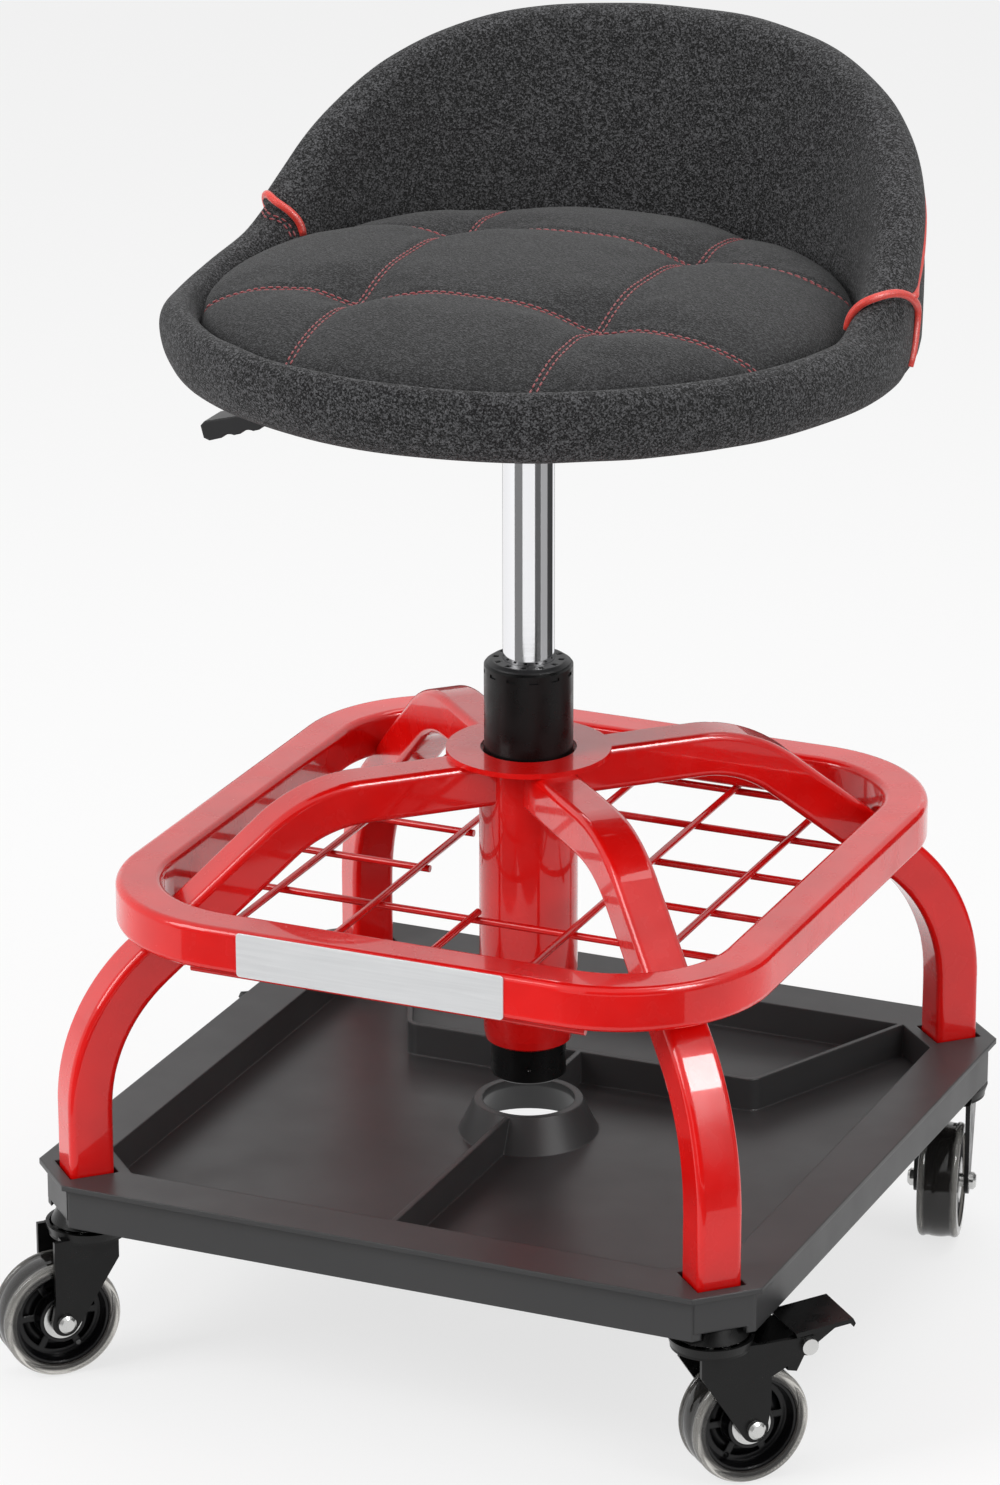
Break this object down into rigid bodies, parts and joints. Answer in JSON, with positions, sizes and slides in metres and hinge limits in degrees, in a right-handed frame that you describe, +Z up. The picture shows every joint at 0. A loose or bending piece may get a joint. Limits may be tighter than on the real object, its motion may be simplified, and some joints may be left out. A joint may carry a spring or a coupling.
{
  "type": "rolling stool",
  "caption": "Height-adjustable rolling workshop stool with a padded swivel seat, low wrap-round back, wire basket and square tool tray on swivel casters.",
  "frame": {"origin": "on the floor, on the axis of the gas lift, with the seat at its highest", "axes": "+Z up, -Y towards the front of the tray, +Y towards the backrest, -X towards the height lever"},
  "size_m": [0.4918, 0.4464, 0.688],
  "materials": {
    "frame_red": "satin powder coat",
    "tray_plastic": "fine grained moulding",
    "steel": "zinc plated",
    "black_metal": "black powder coat",
    "black_plastic": "smooth moulding",
    "bumper_rubber": "matt",
    "chrome": "polished",
    "seat_fabric": "woven cover over foam",
    "piping_red": "covered cord",
    "clear_tyre": "smoky clear soft tyre"
  },
  "bodies": {
    "base": {"centre_tube": "frame_red", "collar_plate": "frame_red", "leg_front_left": "frame_red", "leg_front_right": "frame_red", "leg_rear_right": "frame_red", "leg_rear_left": "frame_red", "basket_ring": "frame_red", "basket_wires": "frame_red", "tool_tray": "tray_plastic", "leg_nut_plates": "steel", "caster_stems": "steel", "caster_races": "black_metal", "caster_balls": "steel", "lift_outer_tube": "black_metal", "lift_guide_bush": "black_plastic", "lift_foot_washer": "steel", "thrust_bearing": "steel"},
    "lift_rod": {"piston_rod": "steel", "piston_head": "steel", "rod_bumper": "bumper_rubber", "retaining_clip": "steel"},
    "seat": {"lift_cylinder": "chrome", "mount_plate": "black_metal", "mount_bolts": "steel", "lever_pin": "steel", "seat_pan": "black_plastic", "back_shell": "black_plastic", "seat_cushion": "seat_fabric", "seat_bolster": "seat_fabric", "back_pad": "seat_fabric", "back_panel": "seat_fabric", "seat_piping": "piping_red"},
    "lever": {"height_lever": "chrome", "lever_paddle": "black_plastic"},
    "button": {"valve_button": "black_plastic"},
    "caster_fl": {"caster_fork_fl": "black_metal", "caster_axle_fl": "steel"},
    "wheel_fl": {"wheel_hub_fl": "black_plastic", "wheel_tyre_fl": "clear_tyre", "wheel_bearings_fl": "steel"},
    "caster_fr": {"caster_fork_fr": "black_metal", "caster_axle_fr": "steel", "brake_pin_fr": "steel"},
    "wheel_fr": {"wheel_hub_fr": "black_plastic", "wheel_tyre_fr": "clear_tyre", "wheel_bearings_fr": "steel"},
    "brake_fr": {"brake_pedal_fr": "black_metal"},
    "caster_rr": {"caster_fork_rr": "black_metal", "caster_axle_rr": "steel"},
    "wheel_rr": {"wheel_hub_rr": "black_plastic", "wheel_tyre_rr": "clear_tyre", "wheel_bearings_rr": "steel"},
    "caster_rl": {"caster_fork_rl": "black_metal", "caster_axle_rl": "steel", "brake_pin_rl": "steel"},
    "wheel_rl": {"wheel_hub_rl": "black_plastic", "wheel_tyre_rl": "clear_tyre", "wheel_bearings_rl": "steel"},
    "brake_rl": {"brake_pedal_rl": "black_metal"}
  },
  "joints": [
    {"name": "seat_swivel", "type": "hinge", "parent": "base", "child": "lift_rod", "pos_m": [0, 0, 0.16], "axis": [0, 0, 1], "continuous": true},
    {"name": "seat_height", "type": "slide", "parent": "lift_rod", "child": "seat", "axis": [0, 0, 1], "range_m": [-0.115, 0]},
    {"name": "lever_lift", "type": "hinge", "parent": "seat", "child": "lever", "pos_m": [-0.046, -0.015, 0.5105], "axis": [0, 1, 0], "range_deg": [0, 5], "stiffness_Nm_per_rad": 3},
    {"name": "button_press", "type": "slide", "parent": "seat", "child": "button", "axis": [0, 0, 1], "range_m": [-0.0042, 0]},
    {"name": "swivel_fl", "type": "hinge", "parent": "base", "child": "caster_fl", "pos_m": [-0.1815, -0.1815, 0.08], "axis": [0, 0, 1], "continuous": true},
    {"name": "roll_fl", "type": "hinge", "parent": "caster_fl", "child": "wheel_fl", "pos_m": [-0.1947, -0.19517, 0.033], "axis": [0.7193, -0.6947, 0], "continuous": true},
    {"name": "swivel_fr", "type": "hinge", "parent": "base", "child": "caster_fr", "pos_m": [0.1815, -0.1815, 0.08], "axis": [0, 0, 1], "continuous": true},
    {"name": "roll_fr", "type": "hinge", "parent": "caster_fr", "child": "wheel_fr", "pos_m": [0.1947, -0.16783, 0.033], "axis": [-0.7193, 0.6947, 0], "continuous": true},
    {"name": "brake_fr_press", "type": "hinge", "parent": "caster_fr", "child": "brake_fr", "pos_m": [0.21554, -0.14625, 0.0756], "axis": [-0.7193, 0.6947, 0], "range_deg": [0, 15]},
    {"name": "swivel_rr", "type": "hinge", "parent": "base", "child": "caster_rr", "pos_m": [0.1815, 0.1815, 0.08], "axis": [0, 0, 1], "continuous": true},
    {"name": "roll_rr", "type": "hinge", "parent": "caster_rr", "child": "wheel_rr", "pos_m": [0.1861, 0.16306, 0.033], "axis": [0.9703, 0.2419, 0], "continuous": true},
    {"name": "swivel_rl", "type": "hinge", "parent": "base", "child": "caster_rl", "pos_m": [-0.1815, 0.1815, 0.08], "axis": [0, 0, 1], "continuous": true},
    {"name": "roll_rl", "type": "hinge", "parent": "caster_rl", "child": "wheel_rl", "pos_m": [-0.1947, 0.16783, 0.033], "axis": [0.7193, -0.6947, 0], "continuous": true},
    {"name": "brake_rl_press", "type": "hinge", "parent": "caster_rl", "child": "brake_rl", "pos_m": [-0.21554, 0.14625, 0.0756], "axis": [0.7193, -0.6947, 0], "range_deg": [0, 15]}
  ],
  "couplings": [
    {"joint": "button_press", "follows": "lever_lift", "m_per_rad": -0.046}
  ]
}
